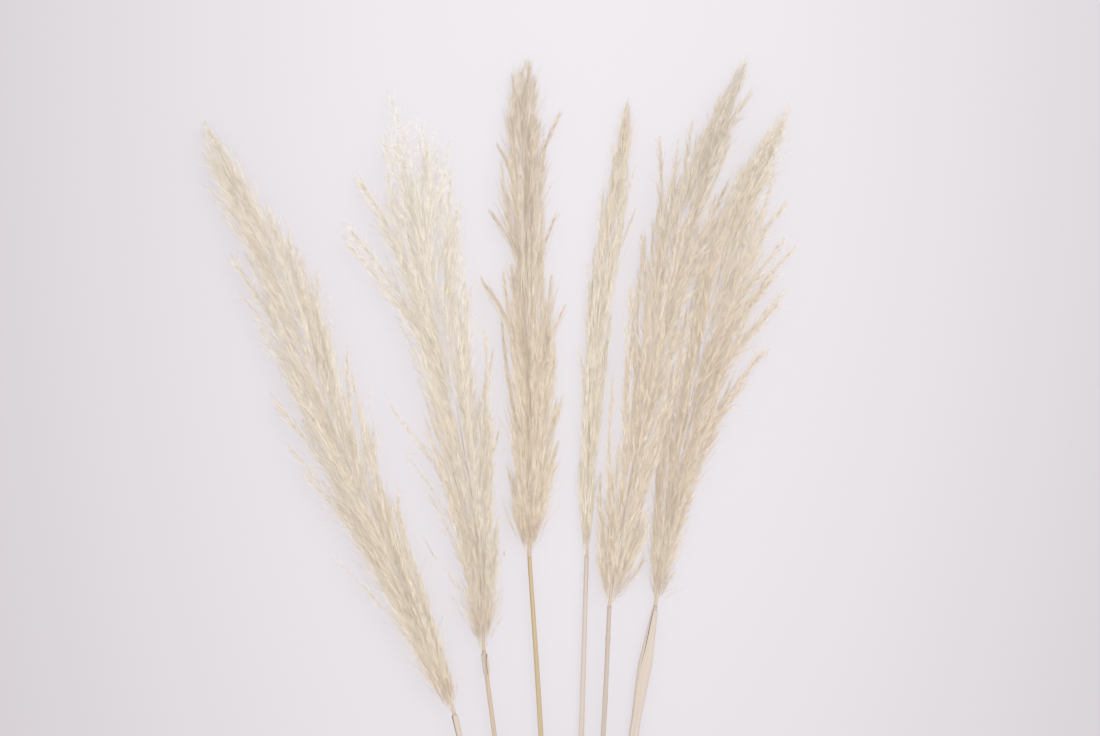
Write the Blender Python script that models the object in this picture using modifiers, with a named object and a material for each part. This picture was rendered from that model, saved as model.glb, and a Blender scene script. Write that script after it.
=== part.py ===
"""A bunch of six dried, bleached pampas grass stalks, laid down on a flat surface.

Each stalk is a straw stem that lies on the surface at its cut end, and a feathery plume that the
stem runs up into. The stems meet side by side at their cut ends, with the outermost one laid over
its neighbours, and fan out towards the plumes. Metres, +Z up, plume tips along +Y.
"""

import math
import random

import bmesh
import bpy
import numpy as np

# Plans are drawn from the point where the stems meet, and the whole bunch is then centred.
MEET_X = 0.0660
MEET_Y = -0.5425

STEM_RESOLUTION = 2  # the curve's bevel resolution, which gives eight sides
STEM_STEP = 0.030
FOOT_RADIUS = 0.0035
NECK_RADIUS = 0.0021
JOINT_SWELL = 0.0005
JOINT_HALF = 0.004

SEAT_GAP = 0.0003

SPRAY_RINGS = (0.34, 0.68)  # where a spray bends, as shares of its length
SPRAY_GIRTH = ((0.0, 0.34, 0.68, 1.0), (0.0013, 0.0029, 0.0023, 0.0))
SPRAY_FLATNESS = 0.55
SPRAY_ROOT_REACH = 0.22
SPRAY_OPENING = 0.6  # how soon a spray nears the outline: the smaller, the sooner
STAND_OFF_BEND = 1.5  # how late a loose spray leaves the plume: the larger, the later
LOOSE_ANGLE = 0.15
SPRAY_LENGTHS = (0.150, 0.075)  # low on the plume, and near its tip
GOLDEN_ANGLE = math.pi * (3 - math.sqrt(5))

CORE_SHARE = 0.5  # the core's width as a share of the plume's
CORE_SIDES = 8
CORE_RINGS = 12
CORE_FOOT = 0.0028
CORE_END = 0.96
FLAT_SPAN = (0.2, 0.8)  # the stretch of a core that is flat on the surface
UNDERSIDE = -0.1  # corners of the core lower than this, in its own cross-section, lie flat
HEIGHT_SHARE = 0.72  # how high a plume stands above its axis, as a share of its half width
DROP_SHARE = 1.5  # how far it hangs below the axis, as a share of that height

LOWEST_SPRAY = 0.0024  # the middle line's height, so that the spray's skin clears the surface
SIDE_GAP = 0.0031  # from a middle line to the border with the next plume

SHEATH_WALL = 0.0006
SHEATH_COLUMNS = 9

# ---- The six stalks, from the left ------------------------------------------------------------
# stem:    the plan of its middle line from the cut end up to the plume.
# plume:   the axis from its base to its tip.
# outline: share of the way up the plume, half width to the left and half width to the right.
# joints:  where the stem swells, as shares of its length.
# sprays:  how many branches cover the plume.
# loose:   branches that stand off it: root, side, length, stand-off and lift of the tip.

STALKS = [
    {
        "name": "1",
        "stem": [(-0.0045, 0.004), (-0.055, 0.207), (-0.1065, 0.414), (-0.112, 0.438)],
        "plume": [(-0.112, 0.438, 0.0172), (-0.153, 0.540, 0.0200), (-0.207, 0.660, 0.0235),
                  (-0.248, 0.780, 0.0235), (-0.287, 0.885, 0.0200), (-0.335, 0.970, 0.0160),
                  (-0.360, 1.020, 0.0130)],
        "outline": [(0.0, 0.005, 0.005), (0.07, 0.009, 0.009), (0.12, 0.014, 0.015),
                    (0.17, 0.017, 0.022), (0.30, 0.021, 0.029), (0.40, 0.026, 0.034),
                    (0.50, 0.031, 0.036), (0.60, 0.033, 0.032), (0.72, 0.031, 0.027),
                    (0.84, 0.025, 0.020), (0.92, 0.016, 0.010), (1.0, 0.003, 0.003)],
        "joints": (0.40,),
        "sprays": 76,
        "flat": True,
        "loose": [(0.02, -1, 0.085, 0.010, 0.000), (0.14, -1, 0.150, 0.014, -0.004),
                  (0.24, -1, 0.170, 0.020, 0.002), (0.34, -1, 0.160, 0.018, 0.006),
                  (0.42, -1, 0.180, 0.026, -0.002), (0.54, -1, 0.140, 0.016, 0.004),
                  (0.30, 1, 0.150, 0.008, 0.003), (0.82, -1, 0.100, 0.004, 0.002)],
    },
    {
        "name": "2",
        "stem": [(-0.0146, 0.000), (-0.044, 0.207), (-0.072, 0.414), (-0.083, 0.500)],
        "plume": [(-0.083, 0.500, 0.0120), (-0.087, 0.585, 0.0150), (-0.094, 0.650, 0.0200),
                  (-0.111, 0.750, 0.0240), (-0.130, 0.840, 0.0240), (-0.145, 0.920, 0.0210),
                  (-0.153, 0.980, 0.0190), (-0.165, 1.025, 0.0170), (-0.178, 1.050, 0.0150)],
        "outline": [(0.0, 0.006, 0.006), (0.05, 0.011, 0.010), (0.16, 0.014, 0.015),
                    (0.23, 0.023, 0.023), (0.30, 0.029, 0.030), (0.38, 0.035, 0.036),
                    (0.52, 0.039, 0.042), (0.65, 0.041, 0.041), (0.76, 0.036, 0.036),
                    (0.86, 0.027, 0.029), (0.93, 0.018, 0.018), (1.0, 0.005, 0.004)],
        "joints": (0.52,),
        "sprays": 76,
        "flat": True,
        "loose": [(0.16, -1, 0.060, 0.046, 0.004), (0.16, -1, 0.150, 0.036, 0.006),
                  (0.24, -1, 0.100, 0.014, 0.000), (0.50, -1, 0.165, 0.040, 0.006),
                  (0.54, -1, 0.170, 0.052, 0.000), (0.58, -1, 0.160, 0.034, 0.008),
                  (0.52, 1, 0.160, 0.012, 0.004), (0.66, 1, 0.150, 0.016, 0.004)],
    },
    {
        "name": "3",
        "stem": [(-0.0068, -0.008), (-0.017, 0.207), (-0.026, 0.414), (-0.0375, 0.594)],
        "plume": [(-0.0375, 0.594, 0.0110), (-0.038, 0.650, 0.0145), (-0.035, 0.720, 0.0180),
                  (-0.039, 0.810, 0.0190), (-0.043, 0.920, 0.0170), (-0.045, 1.010, 0.0140),
                  (-0.039, 1.088, 0.0110)],
        "outline": [(0.0, 0.004, 0.004), (0.04, 0.009, 0.008), (0.11, 0.016, 0.016),
                    (0.20, 0.024, 0.028), (0.32, 0.027, 0.031), (0.50, 0.027, 0.029),
                    (0.66, 0.028, 0.027), (0.80, 0.026, 0.027), (0.92, 0.015, 0.015),
                    (1.0, 0.003, 0.003)],
        "joints": (0.30,),
        "sprays": 60,
        "flat": True,
        "loose": [(0.06, 1, 0.085, 0.008, 0.002), (0.34, -1, 0.120, 0.014, 0.000),
                  (0.36, 1, 0.130, 0.006, 0.003), (0.62, 1, 0.130, 0.012, 0.004)],
    },
    {
        "name": "4",
        "stem": [(0.0, 0.006), (0.007, 0.207), (0.0142, 0.414), (0.0195, 0.594)],
        "plume": [(0.0195, 0.594, 0.0080), (0.021, 0.700, 0.0105), (0.029, 0.810, 0.0130),
                  (0.040, 0.900, 0.0140), (0.052, 0.960, 0.0125), (0.060, 1.044, 0.0100)],
        "outline": [(0.0, 0.0035, 0.0035), (0.23, 0.009, 0.010), (0.40, 0.011, 0.011),
                    (0.58, 0.015, 0.015), (0.80, 0.016, 0.017), (0.90, 0.009, 0.009),
                    (1.0, 0.002, 0.002)],
        "joints": (0.97,),
        "sprays": 44,
        "flat": True,
        "loose": [(0.20, -1, 0.150, 0.005, 0.002), (0.44, -1, 0.140, 0.006, 0.002),
                  (0.56, 1, 0.130, 0.006, 0.002)],
    },
    {
        "name": "5",
        "stem": [(0.0068, -0.004), (0.021, 0.207), (0.0357, 0.414), (0.042, 0.545)],
        "plume": [(0.042, 0.545, 0.0160), (0.049, 0.600, 0.0220), (0.063, 0.670, 0.0290),
                  (0.078, 0.750, 0.0340), (0.091, 0.830, 0.0350), (0.109, 0.910, 0.0330),
                  (0.133, 0.980, 0.0290), (0.158, 1.035, 0.0240), (0.175, 1.086, 0.0200)],
        "outline": [(0.0, 0.006, 0.007), (0.05, 0.013, 0.018), (0.10, 0.017, 0.022),
                    (0.16, 0.023, 0.026), (0.23, 0.030, 0.030), (0.37, 0.034, 0.033),
                    (0.52, 0.034, 0.036), (0.66, 0.033, 0.032), (0.80, 0.022, 0.021),
                    (0.92, 0.012, 0.013), (1.0, 0.003, 0.003)],
        "joints": (0.83, 0.94),
        "sprays": 78,
        "flat": False,
        "loose": [(0.50, -1, 0.185, 0.012, 0.006), (0.56, -1, 0.190, 0.020, 0.002),
                  (0.40, -1, 0.140, 0.006, 0.000), (0.62, 1, 0.130, 0.010, 0.004),
                  (0.02, 1, 0.060, 0.012, 0.000), (0.72, -1, 0.130, 0.008, 0.000)],
    },
    {
        "name": "6",
        "stem": [(0.0146, 0.002), (0.040, 0.207), (0.066, 0.414), (0.088, 0.545)],
        "plume": [(0.088, 0.545, 0.0100), (0.096, 0.610, 0.0130), (0.110, 0.690, 0.0165),
                  (0.125, 0.760, 0.0190), (0.143, 0.840, 0.0190), (0.161, 0.910, 0.0175),
                  (0.185, 0.970, 0.0150), (0.205, 1.010, 0.0130), (0.221, 1.040, 0.0110)],
        "outline": [(0.0, 0.0035, 0.0035), (0.08, 0.007, 0.009), (0.13, 0.010, 0.013),
                    (0.22, 0.017, 0.021), (0.30, 0.022, 0.027), (0.38, 0.027, 0.034),
                    (0.46, 0.030, 0.040), (0.62, 0.031, 0.041), (0.70, 0.027, 0.036),
                    (0.78, 0.021, 0.028), (0.86, 0.015, 0.018), (0.93, 0.009, 0.010),
                    (1.0, 0.003, 0.003)],
        "joints": (),
        "sprays": 66,
        "flat": True,
        "loose": [(0.06, 1, 0.080, 0.006, -0.002), (0.28, 1, 0.150, 0.018, 0.002),
                  (0.40, 1, 0.150, 0.026, 0.006), (0.46, 1, 0.165, 0.032, 0.002),
                  (0.52, 1, 0.160, 0.030, -0.002), (0.60, 1, 0.150, 0.026, 0.004),
                  (0.72, -1, 0.110, 0.006, 0.004)],
    },
]

# Between neighbouring plumes runs a border: its share of the way from one axis to the next, and
# how far it leans to the right for each metre up, where one plume lies over the other.
BORDERS = {
    ("1", "2"): (0.50, 0.0),
    ("2", "3"): (0.55, 0.0),
    ("3", "4"): (0.62, 0.0),
    ("4", "5"): (0.28, 0.0),
    ("5", "6"): (0.50, 1.1),
}

# Leaf sheaths round a stem: from and to as shares of the stem, stations of half width, and the
# arc they wrap, measured from the right over the top.
SHEATHS = {
    "1": {"span": (0.945, 0.996), "rings": 4, "arc": (150, 480),
          "widths": [(0.0, 0.0), (1.0, 0.0)]},
    "2": {"span": (0.955, 0.996), "rings": 4, "arc": (100, 420),
          "widths": [(0.0, 0.0), (1.0, 0.0002)]},
    "6": {"span": (0.26, 0.994), "rings": 18, "arc": (155, 405),
          "widths": [(0.0, 0.0), (0.45, 0.0006), (0.66, 0.0016), (0.73, 0.0014), (0.80, 0.0026),
                     (0.86, 0.0036), (0.92, 0.0022), (1.0, 0.0)]},
}


# ---- Middle lines -----------------------------------------------------------------------------

def smooth_line(knots, per_span=16):
    """Points along a Catmull-Rom curve through the knots."""
    knots = np.array(knots, float)
    padded = np.vstack([2 * knots[0] - knots[1], knots, 2 * knots[-1] - knots[-2]])
    line = []
    for i in range(1, len(padded) - 2):
        a, b, c, d = padded[i - 1:i + 3]
        for t in np.arange(per_span) / per_span:
            line.append(0.5 * (2 * b + (c - a) * t + (2 * a - 5 * b + 4 * c - d) * t ** 2
                               + (3 * b - a - 3 * c + d) * t ** 3))
    line.append(knots[-1])
    return np.array(line)


class Axis:
    """A middle line that gives its place and direction at a share of its length."""

    def __init__(self, knots):
        self.line = smooth_line(knots)
        steps = np.linalg.norm(np.diff(self.line, axis=0), axis=1)
        self.along = np.concatenate([[0.0], np.cumsum(steps)])
        self.length = self.along[-1]

    def at(self, share):
        place = min(share, 1.0) * self.length
        found = np.array([np.interp(place, self.along, self.line[:, k]) for k in range(3)])
        return found + self.direction(1.0) * max(share - 1.0, 0.0) * self.length

    def direction(self, share):
        inside = np.clip(share, 0.01, 0.99)
        ends = (inside + np.array([-0.01, 0.01])) * self.length
        run = np.array([np.diff(np.interp(ends, self.along, self.line[:, k]))[0] for k in range(3)])
        return run / np.linalg.norm(run)

    def across(self, share):
        """The level direction to the right of the line."""
        forward = self.direction(share)
        right = np.array([forward[1], -forward[0], 0.0])
        return right / np.linalg.norm(right)

    def passing(self, y):
        """The line's X and Z where it passes a given Y."""
        return np.array([np.interp(y, self.line[:, 1], self.line[:, k]) for k in (0, 2)])


def stem_radius(share):
    return FOOT_RADIUS + (NECK_RADIUS - FOOT_RADIUS) * share ** 1.3


def level_stem(stalk):
    """A stem's middle line, rising evenly from the surface to the base of its plume."""
    (x0, y0), (_, y1) = stalk["stem"][0], stalk["stem"][-1]
    top = stalk["plume"][0][2]
    knots = [(x, y, FOOT_RADIUS + (top - FOOT_RADIUS) * (y - y0) / (y1 - y0))
             for x, y in stalk["stem"]]
    return Axis(knots)


def resting_stem(stalk, under):
    """The same for a stem that rests on the ones under it where it crosses them."""
    flat = level_stem(stalk)
    heights = []
    for other in under:
        gaps = [abs(x - other.passing(y)[0]) for x, y, _ in flat.line]
        k = int(np.argmin(gaps))
        y = flat.line[k][1]
        reach = stem_radius(flat.along[k] / flat.length) + FOOT_RADIUS + SEAT_GAP
        heights.append((y, other.passing(y)[1] + reach))
    (y0, z0), (y1, z1) = heights
    rise = (z1 - z0) / (y1 - y0)
    return Axis([(x, y, z0 + rise * (y - y0)) for x, y in stalk["stem"]])


# ---- The plumes' room ---------------------------------------------------------------------------

def half_width(outline, share, side):
    column = 1 if side < 0 else 2
    return float(np.interp(share, [row[0] for row in outline], [row[column] for row in outline]))


class Plume:
    """One plume's room: its axis and its outline."""

    def __init__(self, stalk):
        self.axis = Axis(stalk["plume"])
        self.outline = stalk["outline"]

    def point(self, share, angle, reach):
        """A place in the plume: the angle runs round the axis from the right, over the top."""
        middle = self.axis.at(share)
        height = HEIGHT_SHARE * sum(half_width(self.outline, share, side) for side in (-1, 1)) / 2
        drop = min(middle[2], DROP_SHARE * height)
        rise = height if math.sin(angle) > 0 else drop
        width = half_width(self.outline, share, math.cos(angle))
        place = middle + self.axis.across(share) * width * reach * math.cos(angle)
        place[2] += rise * reach * math.sin(angle)
        return place


def keep_clear(name, place, gap):
    """Moves a place back over the border with a neighbouring plume, and up off the surface."""
    for (left, right), (share, lean) in BORDERS.items():
        if name not in (left, right):
            continue
        x0, z0 = PLUMES[left].axis.passing(place[1])
        x1, z1 = PLUMES[right].axis.passing(place[1])
        border = x0 + share * (x1 - x0) + lean * (place[2] - (z0 + z1) / 2)
        if name == left:
            place[0] = min(place[0], border - gap)
        else:
            place[0] = max(place[0], border + gap)
    place[2] = max(place[2], 0.0)
    return place


# ---- Sprays and cores ---------------------------------------------------------------------------

def spray_routes(stalk):
    """Where each spray runs: root and tip shares, angle, reach at the tip, stand-off and lift."""
    length = PLUMES[stalk["name"]].axis.length
    draw = random.Random(int(stalk["name"]))
    low, high = SPRAY_LENGTHS
    routes = []
    for k in range(stalk["sprays"]):
        root = 0.01 + 0.93 * (k + draw.random()) / stalk["sprays"]
        tip = root + (low + (high - low) * root) * draw.uniform(0.85, 1.2) / length
        angle = k * GOLDEN_ANGLE + draw.uniform(-0.3, 0.3)
        routes.append((root, min(tip, 1.01), angle, draw.uniform(0.92, 1.08), 0.0, 0.0))
    for root, side, long, stand_off, lift in stalk["loose"]:
        angle = LOOSE_ANGLE if side > 0 else math.pi - LOOSE_ANGLE
        routes.append((root, min(root + long / length, 1.0), angle, 1.0, stand_off * side, lift))
    return routes


def spray_point(name, route, t):
    """A place on a spray's middle line, at a share t of its length."""
    root, tip, angle, tip_reach, stand_off, lift = route
    reach = SPRAY_ROOT_REACH + (tip_reach - SPRAY_ROOT_REACH) * t ** SPRAY_OPENING
    place = PLUMES[name].point(root + (tip - root) * t, angle, reach)
    place[0] += stand_off * t ** STAND_OFF_BEND
    place[2] = max(place[2] + lift * t, LOWEST_SPRAY)
    return keep_clear(name, place, SIDE_GAP)


def new_object(name, shape):
    """An object from a finished shape, with its faces pointing out."""
    if shape.calc_volume(signed=True) < 0:
        bmesh.ops.reverse_faces(shape, faces=shape.faces)
    mesh = bpy.data.meshes.new(name)
    shape.to_mesh(mesh)
    shape.free()
    return bpy.data.objects.new(name, mesh)


def ringed_bar(sides, top_radius, rings):
    """A bar along Z, one unit long, cut into rings where it will bend."""
    bar = bmesh.new()
    bmesh.ops.create_cone(bar, cap_ends=True, segments=sides, radius1=1, radius2=top_radius,
                          depth=1)
    bmesh.ops.translate(bar, verts=bar.verts, vec=(0, 0, 0.5))
    for ring in rings:
        bmesh.ops.bisect_plane(bar, geom=bar.verts[:] + bar.edges[:] + bar.faces[:],
                               plane_co=(0, 0, ring), plane_no=(0, 0, 1))
    return bar


def make_spray(name, route):
    """One feathery branch: a spike bent onto its route, broad side out, with a ridge on top."""
    spray = ringed_bar(3, 0, SPRAY_RINGS)
    middle = PLUMES[name].axis.at((route[0] + route[1]) / 2)
    for vert in spray.verts:
        t = vert.co.z
        girth = float(np.interp(t, *SPRAY_GIRTH))
        forward = (spray_point(name, route, min(t + 0.05, 1.0))
                   - spray_point(name, route, max(t - 0.05, 0.0)))
        forward /= np.linalg.norm(forward)
        out = spray_point(name, route, 0.6) - middle
        out -= forward * (out @ forward)
        out /= np.linalg.norm(out)
        turn = math.atan2(vert.co.y, vert.co.x)
        vert.co = (spray_point(name, route, t)
                   + np.cross(out, forward) * girth * math.cos(turn)
                   + out * girth * SPRAY_FLATNESS * math.sin(turn))
    return new_object(f"spray_{name}", spray)


def make_core(stalk):
    """The dense middle of a plume, flat where it lies on the surface."""
    name = stalk["name"]
    plume = PLUMES[name]
    stem = STEMS[name]
    right = stem.across(1.0)
    forward = stem.direction(1.0)
    up = np.cross(right, forward)
    core = ringed_bar(CORE_SIDES, 1, [k / CORE_RINGS for k in range(1, CORE_RINGS)])
    for vert in core.verts:
        share = vert.co.z * CORE_END
        angle = math.atan2(vert.co.y, vert.co.x)
        place = plume.point(share, angle, CORE_SHARE)
        if vert.co.z < 0.5 / CORE_RINGS:
            place = (stem.at(1.0) + forward * SEAT_GAP
                     + CORE_FOOT * (right * math.cos(angle) + up * math.sin(angle)))
        elif stalk["flat"] and FLAT_SPAN[0] < share < FLAT_SPAN[1] and vert.co.y < UNDERSIDE:
            place[2] = 0.0
        vert.co = keep_clear(name, place, SIDE_GAP)
    return new_object(f"plume_{name}", core)


def one_body(mesh):
    """Keeps only the outer skin: hollows that the joining sealed are filled, and scraps dropped."""
    shape = bmesh.new()
    shape.from_mesh(mesh)
    left = set(shape.faces)
    islands = []
    while left:
        island = [left.pop()]
        for face in island:
            beside = {other for edge in face.edges for other in edge.link_faces} & left
            left -= beside
            island += beside
        islands.append(island)
    islands.sort(key=len)
    for island in islands[:-1]:
        bmesh.ops.delete(shape, geom=island, context="FACES")
    shape.to_mesh(mesh)
    shape.free()


def make_plume(stalk, finish):
    """A core with every spray of the stalk joined to it."""
    loose = bpy.data.collections.new("sprays")
    bpy.context.scene.collection.children.link(loose)
    for route in spray_routes(stalk):
        loose.objects.link(make_spray(stalk["name"], route))
    plume = make_core(stalk)
    BUNCH.objects.link(plume)
    join = plume.modifiers.new("join", "BOOLEAN")
    join.operation = "UNION"
    join.operand_type = "COLLECTION"
    join.collection = loose
    join.solver = "MANIFOLD"
    graph = bpy.context.evaluated_depsgraph_get()
    joined = bpy.data.meshes.new_from_object(plume.evaluated_get(graph))
    plume.modifiers.clear()
    plume.data = joined
    one_body(joined)
    joined.materials.clear()
    joined.materials.append(finish)
    for spray in list(loose.objects):
        bpy.data.objects.remove(spray)
    bpy.data.collections.remove(loose)


# ---- Stems and leaf sheaths ---------------------------------------------------------------------

def make_stem(stalk, finish):
    """A straw stem, tapering upwards, with a swelling at each joint and clean cut ends."""
    axis = STEMS[stalk["name"]]
    steps = round(axis.length / STEM_STEP)
    swell = JOINT_HALF / axis.length
    shares = [k / steps for k in range(steps + 1)]
    shares += [joint + step for joint in stalk["joints"] for step in (-swell, 0.0, swell)]
    shares.sort()
    curve = bpy.data.curves.new(f"stem_{stalk['name']}", "CURVE")
    curve.dimensions = "3D"
    curve.bevel_depth = FOOT_RADIUS
    curve.bevel_resolution = STEM_RESOLUTION
    curve.use_fill_caps = True
    spline = curve.splines.new("POLY")
    spline.points.add(len(shares) - 1)
    for point, share in zip(spline.points, shares):
        radius = stem_radius(share) + (JOINT_SWELL if share in stalk["joints"] else 0.0)
        point.co = (*axis.at(share), 1.0)
        point.radius = radius / FOOT_RADIUS
    curve.materials.append(finish)
    BUNCH.objects.link(bpy.data.objects.new(curve.name, curve))


def make_sheath(name, sheath, finish):
    """A thin dry leaf sheath, open along one side, wrapped round a stem."""
    axis = STEMS[name]
    low, high = sheath["span"]
    start, end = (math.radians(angle) for angle in sheath["arc"])
    shape = bmesh.new()
    bmesh.ops.create_grid(shape, x_segments=SHEATH_COLUMNS, y_segments=sheath["rings"], size=1)
    for vert in shape.verts:
        along = (vert.co.y + 1) / 2
        share = low + (high - low) * along
        angle = start + (end - start) * (vert.co.x + 1) / 2
        room = (stem_radius(share) + SEAT_GAP) / math.cos(math.pi / 8) + SHEATH_WALL / 2
        right = axis.across(share)
        up = np.cross(right, axis.direction(share))
        broad = room + float(np.interp(along, *zip(*sheath["widths"])))
        vert.co = (axis.at(share) + right * broad * math.cos(angle) + up * room * math.sin(angle))
    mesh = bpy.data.meshes.new(f"sheath_{name}")
    shape.to_mesh(mesh)
    shape.free()
    mesh.materials.append(finish)
    made = bpy.data.objects.new(mesh.name, mesh)
    wall = made.modifiers.new("wall", "SOLIDIFY")
    wall.thickness = SHEATH_WALL
    wall.offset = 0
    BUNCH.objects.link(made)


def plain_finish(name, colour, roughness):
    finish = bpy.data.materials.new(name)
    finish.use_nodes = True
    shader = finish.node_tree.nodes["Principled BSDF"]
    shader.inputs["Base Color"].default_value = (*colour, 1)
    shader.inputs["Roughness"].default_value = roughness
    shader.inputs["Metallic"].default_value = 0
    return finish


# ---- The bunch ----------------------------------------------------------------------------------

for old in list(bpy.data.objects):
    bpy.data.objects.remove(old)

BUNCH = bpy.data.collections.new("pampas_bunch")
bpy.context.scene.collection.children.link(BUNCH)
PLUMES = {stalk["name"]: Plume(stalk) for stalk in STALKS}
STEMS = {stalk["name"]: level_stem(stalk) for stalk in STALKS[1:]}
STEMS["1"] = resting_stem(STALKS[0], [STEMS["3"], STEMS["2"]])

plume_floss = plain_finish("plume_floss", (0.74, 0.66, 0.54), 0.9)
stem_straw = plain_finish("stem_straw", (0.72, 0.60, 0.42), 0.5)
dry_leaf = plain_finish("dry_leaf", (0.70, 0.62, 0.50), 0.7)

for stalk in STALKS:
    make_stem(stalk, stem_straw)
    make_plume(stalk, plume_floss)

for name, sheath in SHEATHS.items():
    make_sheath(name, sheath, dry_leaf)

for made in BUNCH.objects:
    made.location = (MEET_X, MEET_Y, 0)
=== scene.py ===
"""A bunch of dried pampas grass: the looks of the six stalks that part.py builds."""

import math

import bpy
import numpy as np
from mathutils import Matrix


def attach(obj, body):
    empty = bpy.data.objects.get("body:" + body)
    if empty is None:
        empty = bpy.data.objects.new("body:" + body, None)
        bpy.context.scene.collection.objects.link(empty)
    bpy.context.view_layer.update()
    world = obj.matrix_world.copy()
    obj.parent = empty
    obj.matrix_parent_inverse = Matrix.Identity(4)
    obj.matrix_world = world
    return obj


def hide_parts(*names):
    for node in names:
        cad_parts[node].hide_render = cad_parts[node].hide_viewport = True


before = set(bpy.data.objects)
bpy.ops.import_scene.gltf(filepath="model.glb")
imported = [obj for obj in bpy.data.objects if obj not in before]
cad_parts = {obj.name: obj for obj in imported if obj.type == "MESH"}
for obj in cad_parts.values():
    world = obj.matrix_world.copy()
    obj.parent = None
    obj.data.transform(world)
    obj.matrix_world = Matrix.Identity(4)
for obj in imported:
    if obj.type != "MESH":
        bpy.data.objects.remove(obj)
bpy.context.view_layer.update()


# ---- Stems ------------------------------------------------------------------------------------
# Six straw stems, thin round culms that taper from the cut end up to the plume, with a raised
# ring at each joint. They lie side by side at the cut ends, the first across its neighbours.

MEET = np.array([0.0660, -0.5425, 0.0])  # where the stems meet at their cut ends
FOOT_RADIUS = 0.0035  # at the cut end
NECK_RADIUS = 0.0021  # where the plume begins
TAPER = 1.3  # above 1, so a stem thins faster the nearer it gets to its plume
STEM_SIDES = 16
STEM_CUTS = 90
JOINT_SWELL = 0.00045  # how far a joint's ring stands out
JOINT_HALF = 0.0022  # half the length of the ring
CUTS_DRAWN_IN = 0.6  # how far the cuts near a joint are drawn in towards it

# The plan and height of each stem's middle line, from the cut end up, measured from where the
# stems meet, and the shares of the way up at which it has joints.
STEMS = {
    "1": {"line": [(-0.0045, 0.004, 0.0109), (-0.055, 0.207, 0.0139), (-0.1065, 0.414, 0.0169),
                   (-0.112, 0.438, 0.0172)], "joints": (0.40,)},
    "2": {"line": [(-0.0146, 0.000, 0.0035), (-0.044, 0.207, 0.0070), (-0.072, 0.414, 0.0105),
                   (-0.083, 0.500, 0.0120)], "joints": (0.52,)},
    "3": {"line": [(-0.0068, -0.008, 0.0035), (-0.017, 0.207, 0.0062), (-0.026, 0.414, 0.0088),
                   (-0.0375, 0.594, 0.0110)], "joints": (0.30,)},
    "4": {"line": [(0.0000, 0.006, 0.0035), (0.007, 0.207, 0.0050), (0.0142, 0.414, 0.0066),
                   (0.0195, 0.594, 0.0080)], "joints": (0.97,)},
    "5": {"line": [(0.0068, -0.004, 0.0035), (0.021, 0.207, 0.0083), (0.0357, 0.414, 0.0130),
                   (0.042, 0.545, 0.0160)], "joints": (0.83, 0.94)},
    "6": {"line": [(0.0146, 0.002, 0.0035), (0.040, 0.207, 0.0060), (0.066, 0.414, 0.0084),
                   (0.088, 0.545, 0.0100)], "joints": ()},
}


class Route:
    """A smooth line through knots, read off at shares of its length."""

    def __init__(self, knots):
        knots = np.array(knots, float) + MEET
        padded = np.vstack([2 * knots[0] - knots[1], knots, 2 * knots[-1] - knots[-2]])
        t = (np.arange(16) / 16)[:, None]
        spans = [0.5 * (2 * b + (c - a) * t + (2 * a - 5 * b + 4 * c - d) * t ** 2
                        + (3 * b - a - 3 * c + d) * t ** 3)
                 for a, b, c, d in zip(padded, padded[1:], padded[2:], padded[3:])]
        self.line = np.vstack(spans + [knots[-1:]])
        steps = np.linalg.norm(np.diff(self.line, axis=0), axis=1)
        self.along = np.concatenate([[0.0], np.cumsum(steps)])
        self.length = self.along[-1]

    def at(self, share):
        place = np.clip(share, 0.0, 1.0) * self.length
        found = np.stack([np.interp(place, self.along, self.line[:, k]) for k in range(3)], -1)
        over = np.maximum(share - 1.0, 0.0) * self.length
        end = self.line[-1] - self.line[-5]
        return found + np.multiply.outer(over, end / np.linalg.norm(end))

    def direction(self, share):
        inside = np.clip(share, 0.01, 0.99)
        run = self.at(inside + 0.01) - self.at(inside - 0.01)
        return run / np.linalg.norm(run, axis=-1, keepdims=True)

    def frame(self, share):
        """Forward along the line, level to its right, and up."""
        forward = self.direction(share)
        right = np.stack([forward[..., 1], -forward[..., 0], 0 * forward[..., 0]], -1)
        right /= np.linalg.norm(right, axis=-1, keepdims=True)
        return forward, right, np.cross(right, forward)

    def passing(self, y):
        """The line's X and Z where it passes a given Y."""
        return tuple(np.interp(y, self.line[:, 1], self.line[:, k]) for k in (0, 2))


def points_of(mesh):
    flat = np.empty(len(mesh.vertices) * 3, np.float32)
    mesh.vertices.foreach_get("co", flat)
    return flat.reshape(-1, 3).astype(float)


def set_points(mesh, points):
    mesh.vertices.foreach_set("co", np.asarray(points, np.float32).ravel())
    mesh.update()


def upright_rod(sides, cuts):
    """A rod one unit tall and one unit in radius, cut into rings along its height."""
    bpy.ops.object.select_all(action="DESELECT")
    bpy.ops.mesh.primitive_cylinder_add(vertices=sides, radius=1, depth=1, location=(0, 0, 0.5))
    rod = bpy.context.object
    bpy.ops.object.transform_apply(location=True)
    bpy.context.tool_settings.mesh_select_mode = (False, True, False)
    bpy.ops.object.mode_set(mode="EDIT")
    bpy.ops.mesh.select_all(action="DESELECT")
    bpy.ops.object.mode_set(mode="OBJECT")
    for edge in rod.data.edges:
        low, high = (rod.data.vertices[k].co.z for k in edge.vertices)
        edge.select = abs(high - low) > 0.5
    bpy.ops.object.mode_set(mode="EDIT")
    bpy.ops.mesh.subdivide(number_cuts=cuts)
    bpy.ops.object.mode_set(mode="OBJECT")
    bpy.context.tool_settings.mesh_select_mode = (True, False, False)
    return rod


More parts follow.
